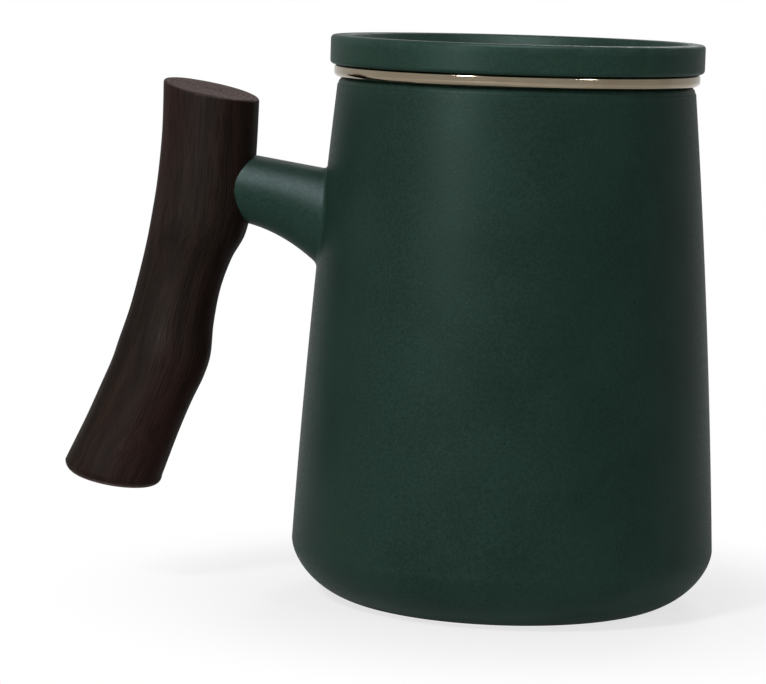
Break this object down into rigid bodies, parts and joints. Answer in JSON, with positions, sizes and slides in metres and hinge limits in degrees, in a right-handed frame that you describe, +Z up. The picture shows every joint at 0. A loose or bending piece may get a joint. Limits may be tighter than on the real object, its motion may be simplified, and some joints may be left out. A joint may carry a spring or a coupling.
{
  "type": "lidded tea mug",
  "caption": "Tapered stoneware mug with a lift-off lid, a lift-out steel tea infuser and a branch-shaped wooden handle on a ceramic stub.",
  "frame": {"origin": "centre of the foot, on the mug's axis and on the surface it stands on", "axes": "+Z up along the mug's axis; the handle points along -X; Y is across the handle"},
  "size_m": [0.1476, 0.0954, 0.1266],
  "materials": {
    "mug_glaze": "matte, very finely grained dark green stoneware glaze",
    "stub_glaze": "the same matte dark green glaze",
    "insert_brass": "turned brass",
    "stud_steel": "plain steel, threaded at both ends",
    "washer_rubber": "soft dark cushion",
    "grip_wood": "oiled very dark walnut, paler on the sawn ends",
    "infuser_rim_steel": "polished stainless steel with a warm tone",
    "infuser_wall_steel": "satin perforated stainless steel",
    "infuser_base_steel": "satin perforated stainless steel",
    "lid_glaze": "the same matte dark green glaze"
  },
  "bodies": {
    "mug": {"mug_body": "mug_glaze", "handle_stub": "stub_glaze", "stub_insert": "insert_brass", "handle_stud": "stud_steel", "handle_washer": "washer_rubber", "handle_grip": "grip_wood"},
    "infuser": {"infuser_rim": "infuser_rim_steel", "infuser_wall": "infuser_wall_steel", "infuser_base": "infuser_base_steel"},
    "lid": {"lid": "lid_glaze"}
  },
  "joints": [
    {"name": "infuser_lift", "type": "slide", "parent": "mug", "child": "infuser", "axis": [0, 0, 1], "range_m": [0, 0.09]},
    {"name": "lid_lift", "type": "slide", "parent": "infuser", "child": "lid", "axis": [0, 0, 1], "range_m": [0, 0.06]}
  ]
}
